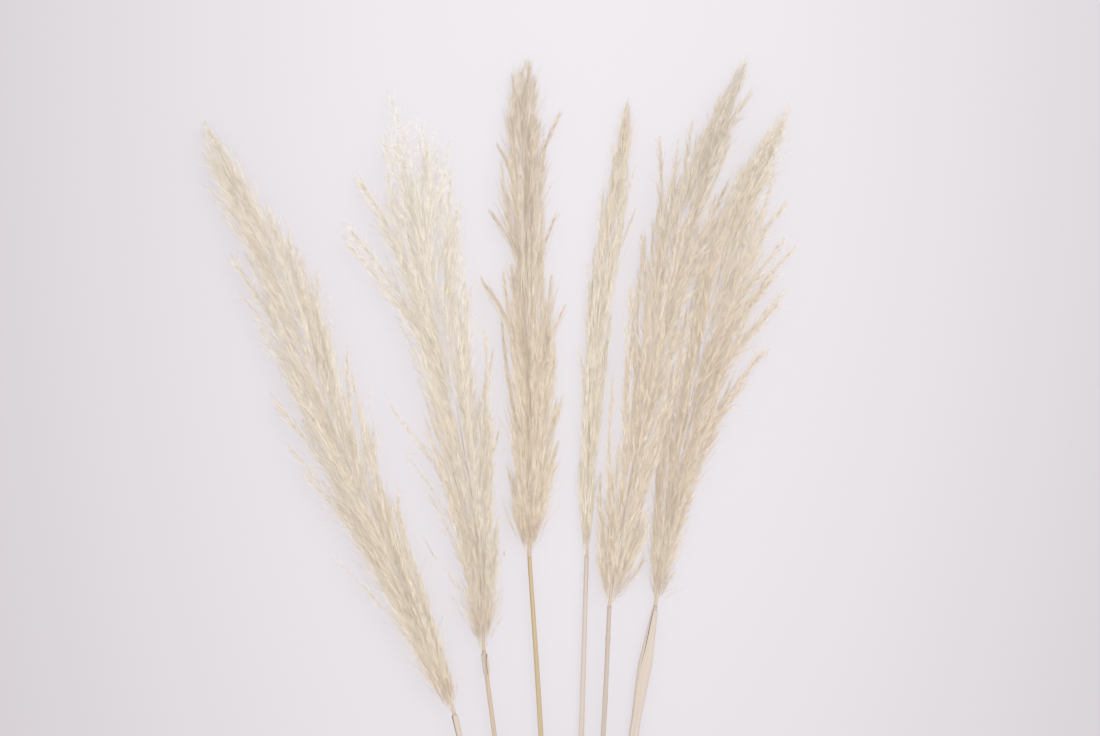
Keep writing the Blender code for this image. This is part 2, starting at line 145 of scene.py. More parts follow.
def around_and_along(mesh, length):
    """A map that unrolls a rod: round it in U, up it in V."""
    local = points_of(mesh)
    corners = np.empty(len(mesh.loops), np.int32)
    mesh.loops.foreach_get("vertex_index", corners)
    turn = np.arctan2(local[:, 1], local[:, 0]) / (2 * math.pi) % 1.0
    u = turn[corners]
    for face in mesh.polygons:
        span = slice(face.loop_start, face.loop_start + face.loop_total)
        if face.loop_total == 4 and np.ptp(u[span]) > 0.5:
            u[span] = np.where(u[span] < 0.5, u[span] + 1, u[span])
    v = local[corners, 2] * length
    unrolled = mesh.uv_layers.new(name="unrolled")
    unrolled.data.foreach_set("uv", np.stack([u, v], -1).astype(np.float32).ravel())


class Wire:
    """A value in a finish's shader, which adds, multiplies and mixes the way a number does."""

    def __init__(self, finish, socket):
        self.finish = finish
        self.socket = socket

    def _math(self, kind, first, second):
        return self.finish.node("Math", {"operation": kind}, {0: first, 1: second})[0]

    def __add__(self, other):
        return self._math("ADD", self, other)

    def __radd__(self, other):
        return self._math("ADD", other, self)

    def __sub__(self, other):
        return self._math("SUBTRACT", self, other)

    def __rsub__(self, other):
        return self._math("SUBTRACT", other, self)

    def __mul__(self, other):
        return self._math("MULTIPLY", self, other)

    def __rmul__(self, other):
        return self._math("MULTIPLY", other, self)

    def from_to(self, low, high):
        """The value stretched so that low becomes 0 and high becomes 1, and held there."""
        ends = {"Value": self, "From Min": low, "From Max": high}
        return self.finish.node("MapRange", {}, ends)[0]

    def mix(self, first, second):
        """first where the value is 0, second where it is 1: colours, or wires that hold them."""
        # A Mix node's colours go in at sockets 6 and 7 and come out at 2.
        sockets = {0: self, 6: first, 7: second}
        return self.finish.node("Mix", {"data_type": "RGBA"}, sockets)[2]


class Finish:
    """A material under construction, with its Principled shader at hand."""

    def __init__(self, name, roughness):
        self.material = bpy.data.materials.new(name)
        self.material.use_nodes = True
        self.tree = self.material.node_tree
        self.shader = self.tree.nodes["Principled BSDF"]
        self.skin({"Roughness": roughness})

    def give(self, node, sockets):
        """Gives sockets of a node their values, or the wires that lead to them."""
        for place, value in sockets.items():
            socket = node.inputs[place]
            if isinstance(value, Wire):
                self.tree.links.new(value.socket, socket)
            elif isinstance(value, tuple) and len(value) == 3:
                socket.default_value = (*value, 1)
            else:
                socket.default_value = value

    def skin(self, sockets):
        """Gives the Principled shader's sockets their values or wires."""
        self.give(self.shader, sockets)

    def node(self, kind, settings, sockets):
        """Adds a node with its settings and sockets, and gives a wire from each of its outputs."""
        node = self.tree.nodes.new(f"ShaderNode{kind}")
        for name, setting in settings.items():
            setattr(node, name, setting)
        self.give(node, sockets)
        return [Wire(self, output) for output in node.outputs]

    def across(self, vector):
        """The first two numbers of a vector."""
        return self.node("SeparateXYZ", {}, {0: vector})[:2]

    def uv(self, name):
        return self.across(self.node("UVMap", {"uv_map": name}, {})[0])

    def noise(self, x, y, detail=3.0):
        """Soft blotches one unit across, in a plane: x and y are stretched before they come in."""
        place = self.node("CombineXYZ", {}, {0: x, 1: y})[0]
        return self.node("TexNoise", {}, {"Vector": place, "Scale": 1.0, "Detail": detail})[0]

    def bump(self, height, strength, distance):
        ridges = {"Height": height, "Strength": strength, "Distance": distance}
        self.skin({"Normal": self.node("Bump", {}, ridges)[0]})


def straw_finish(name, pale, deep, streak):
    """Dry straw: fine streaks up the stem, a deeper tone in patches, and a satin skin."""
    finish = Finish(name, 0.48)
    u, v = finish.uv("unrolled")
    streaks = finish.noise(u * 26.0, v * 6.0)
    patches = finish.noise(u * 2.0, v * 9.0)
    tone = streaks.from_to(0.35, 0.68).mix(pale, deep)
    finish.skin({"Base Color": patches.from_to(0.42, 0.72).mix(tone, streak)})
    finish.bump(finish.noise(u * 60.0, v * 8.0), 0.25, 0.0004)
    return finish.material


def stem_radius(share):
    """The plain radius of a stem, a share of the way from its cut end to its plume."""
    return FOOT_RADIUS + (NECK_RADIUS - FOOT_RADIUS) * share ** TAPER


def cuts_near(joint, share):
    """Draws the cuts of a stem in towards a joint, and leaves those at its two ends alone."""
    inside = share * (1 - share)
    pull = np.exp(-((share - joint) * 12) ** 2) * np.minimum(1, 8 * inside)
    return share + CUTS_DRAWN_IN * (joint - share) * pull * np.clip(40 * inside, 0, 1)


def make_stem(name, material, pith):
    """One stem, from its cut end to where the plume hides it."""
    route = Route(STEMS[name]["line"])
    rod = upright_rod(STEM_SIDES, STEM_CUTS)
    rod.name = f"straw_{name}"
    around_and_along(rod.data, route.length)
    local = points_of(rod.data)
    share = local[:, 2]
    for joint in STEMS[name]["joints"]:
        share = cuts_near(joint, share)
    radius = stem_radius(share)
    for joint in STEMS[name]["joints"]:
        away = (share - joint) * route.length / JOINT_HALF
        radius = radius + JOINT_SWELL * np.exp(-away ** 2)
    _, right, up = route.frame(share)
    placed = route.at(share) + (right * local[:, :1] + up * local[:, 1:2]) * radius[:, None]
    set_points(rod.data, placed)
    rod.data.flip_normals()
    rod.data.materials.append(material)
    rod.data.materials.append(pith)
    for face in rod.data.polygons:
        face.use_smooth = len(face.vertices) == 4
        face.material_index = int(len(face.vertices) > 4)
    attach(rod, "root")
    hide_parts(f"stem_{name}")


pith = Finish("cut_pith", 0.9)
pith.skin({"Base Color": (0.72, 0.60, 0.40)})

# The pale straw, the deeper streaks in it, and the patches over both.
STEM_TONES = {
    "1": ((0.60, 0.52, 0.42), (0.47, 0.37, 0.29), (0.52, 0.42, 0.31)),
    "2": ((0.57, 0.47, 0.38), (0.46, 0.36, 0.25), (0.50, 0.39, 0.28)),
    "3": ((0.54, 0.44, 0.29), (0.44, 0.33, 0.18), (0.48, 0.36, 0.21)),
    "4": ((0.61, 0.54, 0.48), (0.52, 0.44, 0.38), (0.57, 0.48, 0.42)),
    "5": ((0.55, 0.48, 0.42), (0.44, 0.35, 0.30), (0.49, 0.40, 0.33)),
    "6": ((0.54, 0.47, 0.39), (0.43, 0.35, 0.28), (0.48, 0.39, 0.31)),
}

for name, tones in STEM_TONES.items():
    make_stem(name, straw_finish(f"straw_{name}", *tones), pith.material)


# ---- Leaf sheaths -----------------------------------------------------------------------------
# The dry base of a leaf stays rolled round the stem, and one edge of it laps over the other. The
# long one on the last stem has come loose and flattened. It opens and tapers out under the plume.

SHEATH_WALL = 0.0004
SHEATH_GAP = 0.0005  # between the stem and the middle of the wall
ROLLED = 0.0006  # how much further out the edge that laps over lies
OPENS = 0.5  # radians by which that edge draws back at the top
WAVE = 0.06  # radians by which both edges wave in and out
WAVES = 40

# span:   where it starts and ends, as shares of the way up the stem.
# arc:    the angles of its two edges round the stem, in degrees from the right over the top.
# cuts:   faces across it and along it.
# widths: shares of the way up the sheath, and how much wider than the stem it is there.
SHEATHS = {
    "1": {"span": (0.945, 0.994), "arc": (150, 480), "cuts": (26, 20),
          "widths": ((0.0, 1.0), (0.0, 0.0002))},
    "2": {"span": (0.955, 0.994), "arc": (100, 420), "cuts": (26, 20),
          "widths": ((0.0, 1.0), (0.0, 0.0003))},
    "6": {"span": (0.26, 0.992), "arc": (126, 494), "cuts": (36, 125),
          "widths": ((0.0, 0.45, 0.66, 0.73, 0.80, 0.86, 0.92, 1.0),
                     (0.0, 0.0006, 0.0016, 0.0014, 0.0028, 0.0038, 0.0022, 0.0))},
}


def leaf_finish():
    """Dry grass leaf: close parallel ribs and a mottled, faded tan."""
    finish = Finish("dry_leaf", 0.62)
    u, v = finish.uv("unrolled")
    ribs = finish.noise(u * 34.0, v * 5.0, detail=2.0)
    fade = finish.noise(u * 3.0, v * 14.0)
    tone = ribs.from_to(0.35, 0.68).mix((0.62, 0.54, 0.48), (0.52, 0.44, 0.38))
    faded = fade.from_to(0.40, 0.75).mix(tone, (0.57, 0.49, 0.42))
    finish.skin({"Base Color": faded})
    finish.bump(ribs, 0.5, 0.0005)
    return finish.material


def make_sheath(name, sheath, material):
    """One leaf base: a sheet rolled round its stem, with a wall of its own."""
    route = Route(STEMS[name]["line"])
    columns, rows = sheath["cuts"]
    bpy.ops.object.select_all(action="DESELECT")
    bpy.ops.mesh.primitive_grid_add(x_subdivisions=columns, y_subdivisions=rows, size=1)
    leaf = bpy.context.object
    leaf.name = f"leaf_{name}"
    local = points_of(leaf.data) + 0.5
    across, along = local[:, 0], local[:, 1]
    low, high = sheath["span"]
    share = low + (high - low) * along
    start, end = np.radians(sheath["arc"])
    end = end - OPENS * along ** 6
    waving = WAVE * np.sin(along * WAVES) * np.abs(2 * across - 1) ** 3
    angle = start + (end - start) * across + waving
    room = stem_radius(share) + SHEATH_GAP + ROLLED * across
    broad = room + np.interp(along, *sheath["widths"])
    _, right, up = route.frame(share)
    placed = (route.at(share) + right * (broad * np.cos(angle))[:, None]
              + up * (room * np.sin(angle))[:, None])
    corners = np.empty(len(leaf.data.loops), np.int32)
    leaf.data.loops.foreach_get("vertex_index", corners)
    leaf.data.uv_layers.active.name = "unrolled"
    flat = np.stack([across, along * (high - low) * route.length], -1)[corners]
    leaf.data.uv_layers["unrolled"].data.foreach_set("uv", flat.astype(np.float32).ravel())
    set_points(leaf.data, placed)
    leaf.data.materials.append(material)
    wall = leaf.modifiers.new("wall", "SOLIDIFY")
    wall.thickness = SHEATH_WALL
    wall.offset = 0
    bpy.ops.object.modifier_apply(modifier=wall.name)
    bpy.ops.object.shade_smooth_by_angle(angle=math.radians(40))
    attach(leaf, "root")
    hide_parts(f"sheath_{name}")


dry_leaf = leaf_finish()
for name, sheath in SHEATHS.items():
    make_sheath(name, sheath, dry_leaf)


# ---- Plumes -----------------------------------------------------------------------------------
# Each plume is a head of thin drooping branches that grow off the stem's end. Every branch is a
# thread with fine silky hairs along it, so the plume is made of many thousands of hairs.

HEIGHT_SHARE = 0.62  # half the thickness of a plume, as a share of its mean half width
UNDER_SHARE = 1.5  # how far its underside hangs, in half thicknesses
SQUARENESS = 0.7  # below 1, so the section is a rounded square

LOWEST = 0.0005  # a hair that reaches the surface is laid flat between these two heights
LAID_FLAT = 0.0030
TOP_CURVES = 0.056  # and one that stands too tall is bent over between these two
HIGHEST = 0.064
PASSES_OVER = 0.4  # how much of its way a hair keeps beyond the border with the next plume

GOLDEN_ANGLE = math.pi * (3 - math.sqrt(5))  # the turn from one branch to the next
COLLAR_EVERY = 6  # one branch in six grows out at the very neck
TOPMOST_ROOT = 0.96  # this and the next four are shares of the way up the plume
SHORTEST = 0.08
ROUND_THE_TOP = 0.15  # branches that would pass the top end over this much of it instead
COLLAR_ROOTS = 0.04
COLLAR_REACH = (0.06, 0.24)
RACHIS_REACH = 0.45  # how far up the plume the end of the stem runs on
THREAD_RADIUS = 0.00032
LOWEST_THREAD = 0.0016  # above the surface

HAIRS_A_WISP = 3
HAIR_RADIUS = 0.00036  # of the thickest hairs
HAIR_THICKEST = 0.38  # how far up a hair that is
FINER_AT_TIP = 0.4  # how much thinner hairs get over the last fifth of a plume
FINER_FROM = 0.80
TASSEL_SHARE = 2.6  # hairs on a tassel, to those on a plain branch of the same length
COLLAR_SHARE = 1.6
TASSEL_FAN = 2.0
STRAYS = 0.07  # share of wisps that stand off from the rest
STRAY_FAN = 2.4
WIDEST_FAN = math.radians(36)
CURLS_ON_TASSELS = 0.3  # share of the curled hairs that are out on tassels
CURL_SIZES = (0.0015, 0.0042)
CURL_TURNS = (1.6, 4.4)  # radians that a curl goes round
CURL_RADII = (0.00016, 0.00030)
CURLED_TASSELS = 6  # the first ones in a plume's list
CURL_TUFTS = 40  # curls of one tuft have one tone
HUSK_LENGTH = 0.0045
HUSK_RADIUS = 0.0009
HUSK_LIFT = 0.014  # above the middle line, about level with the top of the floss

# painted glow: light that the floss gives off by itself, in place of light scattered through it
FLOSS_PAINTED_GLOW = 0.165
FLOSS_LETS_THROUGH = 0.3
NECK_SHARE = 0.05  # the lowest stretch of a plume, which lies in shade
NECK_SHADE = 0.45
BRANCHES_VARY = 0.05  # in tone and warmth, from one branch to the next
HAIRS_VARY = 0.075  # in tone, from one hair to the next

# Every plan is measured from where the stems meet.
# axis:     the middle line's plan and height, from the stem's end to the tip.
# outline:  share of the way up the plume, half width to the left and half width to the right.
# branches: how many there are, with the "lengths" of the lowest and of the topmost ones.
# hairs:    how many there are, with their "hair_lengths" near a branch's root and near its tip.
# spread:   how far hairs fan out from a branch on the left and on the right, in degrees.
# loft:     how far the hairs of one wisp stand apart.
# reach:    how far out branches end, to the outline's width.
# top:      the share of the way up that the branches end at.
# curls:    how many short curled hairs, and the stretch of the plume that they are on.
# husks:    the plan of each brown husk.
# light:    shares of the way up, and the tone there: 0 is shadowed and 1 is bleached.
# warmth:   the same for the hue: 0 is cool and 1 is tan.
# tassels:  branches that stand out at the edges: root share, plan of the tip, fullness.
PLUMES = {
    "1": {
        "axis": [(-0.112, 0.438, 0.0172), (-0.153, 0.540, 0.0200), (-0.207, 0.660, 0.0235),
                 (-0.248, 0.780, 0.0235), (-0.287, 0.885, 0.0200), (-0.335, 0.970, 0.0160),
                 (-0.360, 1.020, 0.0130)],
        "outline": [(0.0, 0.005, 0.005), (0.07, 0.009, 0.009), (0.12, 0.014, 0.015),
                    (0.17, 0.017, 0.022), (0.30, 0.021, 0.029), (0.40, 0.026, 0.034),
                    (0.50, 0.031, 0.036), (0.60, 0.033, 0.032), (0.72, 0.031, 0.027),
                    (0.84, 0.025, 0.020), (0.92, 0.016, 0.010), (1.0, 0.003, 0.003)],
        "branches": 126, "hairs": 27000, "spread": (15, 11), "lengths": (0.170, 0.080),
        "curls": (100, 0.8, 1.0),
        "husks": [], "top": 1, "reach": 1.04, "hair_lengths": (0.056, 0.026), "loft": 0.0030,
        "light": ((0.0, 0.5, 1.0), (0.62, 0.66, 0.66)),
        "warmth": ((0.0, 0.4, 0.8, 1.0), (0.55, 0.48, 0.34, 0.30)),
        "tassels": [(0.84, -0.359, 1.022, 1.00), (0.72, -0.357, 0.961, 0.50),
                    (0.45, -0.334, 0.891, 0.90), (0.42, -0.327, 0.860, 0.30),
                    (0.36, -0.309, 0.828, 0.80), (0.33, -0.303, 0.805, 0.30),
                    (0.26, -0.291, 0.751, 0.80), (0.20, -0.282, 0.710, 0.35),
                    (0.14, -0.262, 0.680, 0.60), (0.08, -0.236, 0.658, 0.60),
                    (0.04, -0.228, 0.590, 0.30), (0.62, -0.298, 0.944, 0.60),
                    (0.58, -0.279, 0.918, 0.60), (0.50, -0.249, 0.875, 0.60),
                    (0.47, -0.235, 0.860, 0.15), (0.36, -0.219, 0.798, 0.60),
                    (0.30, -0.196, 0.766, 0.15), (0.24, -0.193, 0.725, 0.60),
                    (0.14, -0.169, 0.660, 0.50)],
    },
    "2": {
        "axis": [(-0.083, 0.500, 0.0120), (-0.087, 0.585, 0.0150), (-0.094, 0.650, 0.0200),
                 (-0.111, 0.750, 0.0240), (-0.130, 0.840, 0.0240), (-0.145, 0.920, 0.0210),
                 (-0.153, 0.980, 0.0190), (-0.165, 1.025, 0.0170), (-0.178, 1.050, 0.0150)],
        "outline": [(0.0, 0.006, 0.006), (0.05, 0.011, 0.010), (0.16, 0.014, 0.015),
                    (0.23, 0.023, 0.023), (0.30, 0.029, 0.030), (0.38, 0.035, 0.036),
                    (0.52, 0.039, 0.042), (0.65, 0.041, 0.041), (0.76, 0.036, 0.037),
                    (0.86, 0.029, 0.034), (0.93, 0.024, 0.030), (1.0, 0.006, 0.010)],
        "branches": 118, "hairs": 23400, "spread": (15, 14), "lengths": (0.180, 0.080),
        "curls": (1000, 0.76, 0.95),
        "husks": [(-0.0626, 0.597)], "top": 0.95, "reach": 1.06,
        "hair_lengths": (0.052, 0.024), "loft": 0.0030,
        "light": ((0.0, 0.15, 0.5, 0.8, 1.0), (0.45, 0.50, 0.70, 0.84, 0.84)),
        "warmth": ((0.0, 0.4, 0.7, 1.0), (0.45, 0.42, 0.25, 0.0)),
        "tassels": [(0.55, -0.208, 0.972, 1.10), (0.48, -0.220, 0.924, 0.90),
                    (0.46, -0.227, 0.915, 0.70), (0.60, -0.178, 0.969, 0.40),
                    (0.52, -0.189, 0.928, 0.50), (0.85, -0.177, 1.052, 0.50),
                    (0.62, -0.116, 1.012, 0.50), (0.55, -0.107, 0.945, 0.60),
                    (0.42, -0.094, 0.866, 0.60), (0.32, -0.171, 0.833, 0.30),
                    (0.26, -0.157, 0.799, 0.35), (0.20, -0.196, 0.765, 0.15),
                    (0.18, -0.183, 0.750, 0.25), (0.12, -0.172, 0.710, 0.20),
                    (0.06, -0.146, 0.670, 0.40), (0.03, -0.152, 0.615, 0.20),
                    (0.00, -0.112, 0.550, 0.20), (0.30, -0.072, 0.800, 0.60),
                    (0.20, -0.067, 0.720, 0.50)],
    },
    "3": {
        "axis": [(-0.0375, 0.594, 0.0110), (-0.038, 0.650, 0.0145), (-0.035, 0.720, 0.0180),
                 (-0.039, 0.810, 0.0190), (-0.043, 0.920, 0.0170), (-0.045, 1.010, 0.0140),
                 (-0.039, 1.088, 0.0110)],
        "outline": [(0.0, 0.004, 0.004), (0.04, 0.009, 0.008), (0.11, 0.016, 0.016),
                    (0.20, 0.024, 0.028), (0.32, 0.027, 0.031), (0.50, 0.027, 0.029),
                    (0.66, 0.028, 0.027), (0.80, 0.026, 0.027), (0.92, 0.015, 0.015),
                    (1.0, 0.003, 0.003)],
        "branches": 104, "hairs": 23400, "spread": (9, 9), "lengths": (0.150, 0.075),
        "curls": (300, 0.06, 0.45),
        "husks": [(-0.0463, 0.719), (-0.0312, 0.707), (-0.0381, 0.649), (-0.0526, 0.737),
                  (-0.0270, 0.735)],
        "top": 1, "reach": 1.02, "hair_lengths": (0.062, 0.028), "loft": 0.0032,
        "light": ((0.0, 0.3, 0.6, 1.0), (0.62, 0.60, 0.36, 0.14)),
        "warmth": ((0.0, 0.3, 0.55, 1.0), (0.62, 0.70, 0.50, 0.34)),
        "tassels": [(0.38, -0.086, 0.869, 0.60), (0.66, -0.008, 1.034, 0.50),
                    (0.30, -0.004, 0.840, 0.50), (0.06, -0.005, 0.750, 0.40),
                    (0.70, -0.067, 1.000, 0.40), (0.85, -0.054, 1.070, 0.50),
                    (0.85, -0.037, 1.084, 0.60), (0.50, -0.010, 0.935, 0.40),
                    (0.56, -0.075, 0.935, 0.40), (0.02, -0.010, 0.685, 0.40),
                    (0.02, -0.059, 0.680, 0.40)],
    },
    "4": {
        "axis": [(0.0195, 0.594, 0.0080), (0.021, 0.700, 0.0105), (0.029, 0.810, 0.0130),
                 (0.040, 0.900, 0.0140), (0.052, 0.960, 0.0125), (0.060, 1.044, 0.0100)],
        "outline": [(0.0, 0.0030, 0.0030), (0.12, 0.005, 0.005), (0.23, 0.009, 0.010),
                    (0.40, 0.011, 0.011), (0.58, 0.013, 0.013), (0.68, 0.013, 0.013),
                    (0.78, 0.012, 0.013), (0.86, 0.008, 0.008), (0.94, 0.004, 0.004),
                    (1.0, 0.0015, 0.0015)],
        "branches": 60, "hairs": 13500, "spread": (6, 6), "lengths": (0.160, 0.070),
        "curls": (30, 0.8, 1.0),
        "husks": [], "top": 1, "reach": 1.00, "hair_lengths": (0.062, 0.028), "loft": 0.0022,
        "light": ((0.0, 0.3, 0.5, 1.0), (0.95, 0.95, 0.80, 0.50)),
        "warmth": ((0.0, 0.5, 1.0), (0.50, 0.42, 0.46)),
        "tassels": [(0.80, 0.060, 1.044, 0.60), (0.65, 0.047, 1.000, 0.50),
                    (0.62, 0.067, 0.978, 0.30), (0.50, 0.036, 0.955, 0.50),
                    (0.50, 0.066, 0.935, 0.30), (0.35, 0.020, 0.880, 0.40),
                    (0.20, 0.013, 0.800, 0.30)],
    },
    "5": {
        "axis": [(0.042, 0.545, 0.0160), (0.049, 0.600, 0.0220), (0.063, 0.670, 0.0290),
                 (0.078, 0.750, 0.0340), (0.091, 0.830, 0.0350), (0.109, 0.910, 0.0330),
                 (0.133, 0.980, 0.0290), (0.158, 1.035, 0.0240), (0.175, 1.086, 0.0200)],
        "outline": [(0.0, 0.006, 0.007), (0.05, 0.013, 0.018), (0.10, 0.017, 0.022),
                    (0.16, 0.023, 0.026), (0.23, 0.030, 0.030), (0.37, 0.034, 0.033),
                    (0.52, 0.034, 0.036), (0.66, 0.033, 0.032), (0.80, 0.022, 0.021),
                    (0.92, 0.012, 0.013), (1.0, 0.003, 0.003)],
        "branches": 84, "hairs": 27000, "spread": (12, 17), "lengths": (0.200, 0.100),
        "curls": (120, 0.0, 0.95),
        "husks": [], "top": 1, "reach": 1.10, "hair_lengths": (0.050, 0.022), "loft": 0.0026,
        "light": ((0.0, 0.2, 0.5, 0.75, 1.0), (0.62, 0.50, 0.50, 0.25, 0.10)),
        "warmth": ((0.0, 0.3, 0.6, 1.0), (0.52, 0.62, 0.48, 0.08)),
        "tassels": [(0.80, 0.177, 1.088, 0.80), (0.74, 0.183, 1.058, 0.60),
                    (0.72, 0.153, 1.053, 0.60), (0.60, 0.125, 1.032, 0.50),
                    (0.52, 0.092, 1.015, 0.70), (0.50, 0.110, 1.003, 0.50),
                    (0.35, 0.075, 0.919, 0.70), (0.25, 0.062, 0.865, 0.50),
                    (0.45, 0.166, 0.969, 1.00), (0.40, 0.153, 0.935, 0.90),
                    (0.00, 0.083, 0.590, 0.40), (0.00, 0.076, 0.615, 0.60),
                    (0.00, 0.032, 0.588, 0.50), (0.02, 0.030, 0.650, 0.60)],
    },
    "6": {
        "axis": [(0.088, 0.545, 0.0100), (0.096, 0.610, 0.0130), (0.110, 0.690, 0.0165),
                 (0.125, 0.760, 0.0190), (0.143, 0.840, 0.0190), (0.161, 0.910, 0.0175),
                 (0.185, 0.970, 0.0150), (0.205, 1.010, 0.0130), (0.221, 1.040, 0.0110)],
        "outline": [(0.0, 0.0035, 0.0035), (0.08, 0.007, 0.009), (0.13, 0.010, 0.013),
                    (0.22, 0.017, 0.021), (0.30, 0.022, 0.027), (0.38, 0.027, 0.034),
                    (0.46, 0.030, 0.040), (0.62, 0.031, 0.041), (0.70, 0.027, 0.036),
                    (0.78, 0.021, 0.028), (0.86, 0.015, 0.018), (0.93, 0.009, 0.010),
                    (1.0, 0.003, 0.003)],
        "branches": 80, "hairs": 25500, "spread": (12, 18), "lengths": (0.200, 0.100),
        "curls": (120, 0.3, 1.0),
        "husks": [], "top": 1, "reach": 1.08, "hair_lengths": (0.050, 0.022), "loft": 0.0026,
        "light": ((0.0, 0.3, 0.6, 1.0), (0.46, 0.36, 0.42, 0.66)),
        "warmth": ((0.0, 0.3, 0.6, 1.0), (0.45, 0.62, 0.52, 0.30)),
        "tassels": [(0.82, 0.221, 1.042, 0.70), (0.70, 0.194, 1.010, 0.60),
                    (0.66, 0.185, 0.992, 0.50), (0.52, 0.220, 0.949, 0.70),
                    (0.44, 0.220, 0.914, 0.70), (0.42, 0.229, 0.904, 0.50),
                    (0.40, 0.214, 0.882, 0.40), (0.38, 0.201, 0.869, 0.80),
                    (0.34, 0.218, 0.860, 0.60), (0.33, 0.214, 0.850, 0.60),
                    (0.24, 0.198, 0.800, 0.80), (0.18, 0.178, 0.770, 0.60),
                    (0.10, 0.149, 0.720, 0.60), (0.03, 0.123, 0.650, 0.50),
                    (0.00, 0.104, 0.575, 0.40)],
    },
}

# The border between two neighbours: its share of the way across, and its lean to the right.
BORDERS = {
    ("1", "2"): (0.50, 0.0),
    ("2", "3"): (0.55, 0.0),
    ("3", "4"): (0.62, 0.0),
    ("4", "5"): (0.28, 0.0),
    ("5", "6"): (0.50, 1.1),
}

AXES = {name: Route(plume["axis"]) for name, plume in PLUMES.items()}


def in_plume(name, share, angle, reach):
    """Places in a plume's room: the angle runs round the axis from the right, over the top."""
    stations, left, right = zip(*PLUMES[name]["outline"])
    middle = AXES[name].at(share)
    _, level, _ = AXES[name].frame(share)
    w_left, w_right = np.interp(share, stations, left), np.interp(share, stations, right)
    height = HEIGHT_SHARE * (w_left + w_right) / 2
    drop = np.minimum(middle[:, 2], UNDER_SHARE * height)
    width = np.where(np.cos(angle) < 0, w_left, w_right)
    across, above = (np.sign(f) * np.abs(f) ** SQUARENESS for f in (np.cos(angle), np.sin(angle)))
    place = middle + level * (width * reach * across)[:, None]
    place[:, 2] += np.where(above > 0, height, drop) * reach * above
    return place


def keep_clear(name, place):
    """Draws hairs in where they pass the border with the next plume, the surface or the top."""
    for (left, right), (share, lean) in BORDERS.items():
        if name not in (left, right):
            continue
        x0, z0 = AXES[left].passing(place[..., 1])
        x1, z1 = AXES[right].passing(place[..., 1])
        border = x0 + share * (x1 - x0) + lean * (place[..., 2] - (z0 + z1) / 2)
        past = (place[..., 0] - border) * (1 if name == left else -1)
        drawn = np.where(past > 0, (1 - PASSES_OVER) * past, 0)
        place[..., 0] -= drawn * (1 if name == left else -1)
    sunk = LOWEST + (LAID_FLAT - LOWEST) * np.exp((place[..., 2] - LAID_FLAT)
                                                  / (LAID_FLAT - LOWEST))
    place[..., 2] = np.where(place[..., 2] < LAID_FLAT, sunk, place[..., 2])
    over = np.maximum(place[..., 2] - TOP_CURVES, 0) / (HIGHEST - TOP_CURVES)
    place[..., 2] += (HIGHEST - TOP_CURVES) * (1 - np.exp(-over) - over)
    return place


def plain_branches(name, draw):
    """Branches that grow in turn round the stem, from the neck of the plume upwards."""
    plume = PLUMES[name]
    count, top = plume["branches"], plume["top"]
    lowest, topmost = plume["lengths"]
    root = TOPMOST_ROOT * (np.arange(count) + draw.random(count)) / count
    long = (lowest + (topmost - lowest) * root) * draw.uniform(0.7, 1.2, count)
    tip = root + long / AXES[name].length
    tip = np.where(tip < top, tip, draw.uniform(top - ROUND_THE_TOP, top, count))
    root = np.minimum(root, tip - SHORTEST)
    angle = np.arange(count) * GOLDEN_ANGLE + draw.uniform(-0.35, 0.35, count)
    reach = plume["reach"] * draw.uniform(0.02, 1.0, count) ** 0.5

    collar = np.arange(count) % COLLAR_EVERY == 0
    root = np.where(collar, COLLAR_ROOTS * draw.random(count), root)
    tip = np.where(collar, root + draw.uniform(*COLLAR_REACH, count), tip)

    # Roots are spread over the neck and draw in to the stem above it. A branch soon stands out
    # from the stem and then runs up beside it.
    inside = np.interp(root, (0.0, 0.15), (0.6, 0.08))
    return np.stack([in_plume(name, root, angle, inside),
                     in_plume(name, root + 0.4 * (tip - root), angle, 0.8 * reach),
                     in_plume(name, tip, angle, reach)])


def tassels_of(name):
    """The branches that stand out at the plume's edges, and how full of hair each is."""
    axis = AXES[name]
    root, x, y, fullness = np.array(PLUMES[name]["tassels"]).T
    start = axis.at(root)
    end = np.stack([x + MEET[0], y + MEET[1], 0 * x], -1)
    end[:, 2] = 0.75 * axis.passing(end[:, 1])[1]
    far = np.linalg.norm(end - start, axis=1) / axis.length
    middle = axis.at(root + 0.5 * far) + 0.3 * (end - axis.at(root + far))
    return np.stack([start, middle, end]), fullness


def branches_of(name, draw):
    """All of a plume's branches, each as the three corners of the curve it runs along."""
    plain = plain_branches(name, draw)
    tassels, fullness = tassels_of(name)
    return (np.concatenate([plain, tassels], axis=1),
            np.concatenate([np.ones(plain.shape[1]), fullness]))


def on_branch(corners, t):
    """Places on the branches, a share t of the way along each."""
    t = np.reshape(t, (-1, 1))
    first, middle, last = corners
    place = first * (1 - t) ** 2 + 2 * middle * t * (1 - t) + last * t ** 2
    place[:, 2] = np.maximum(place[:, 2], LOWEST_THREAD)
    return place


def unit(vectors):
    return vectors / np.maximum(np.linalg.norm(vectors, axis=-1, keepdims=True), 1e-9)


def straight_hair():
    """A single hair, one unit long: three-sided, pointed at both ends, widest low down."""
    bpy.ops.object.select_all(action="DESELECT")
    bpy.ops.mesh.primitive_cone_add(vertices=3, radius1=1, radius2=0, depth=1 - HAIR_THICKEST,
                                    end_fill_type="TRIFAN",
                                    location=(0, 0, (1 + HAIR_THICKEST) / 2))
    hair = bpy.context.object
    bpy.ops.object.transform_apply(location=True)
    points = points_of(hair.data)
    faces = np.array([face.vertices[:] for face in hair.data.polygons])
    middle = np.hypot(points[:, 0], points[:, 1]) < 0.01
    points[middle & (points[:, 2] < 0.5), 2] = 0.0
    bpy.data.objects.remove(hair)
    return points, faces


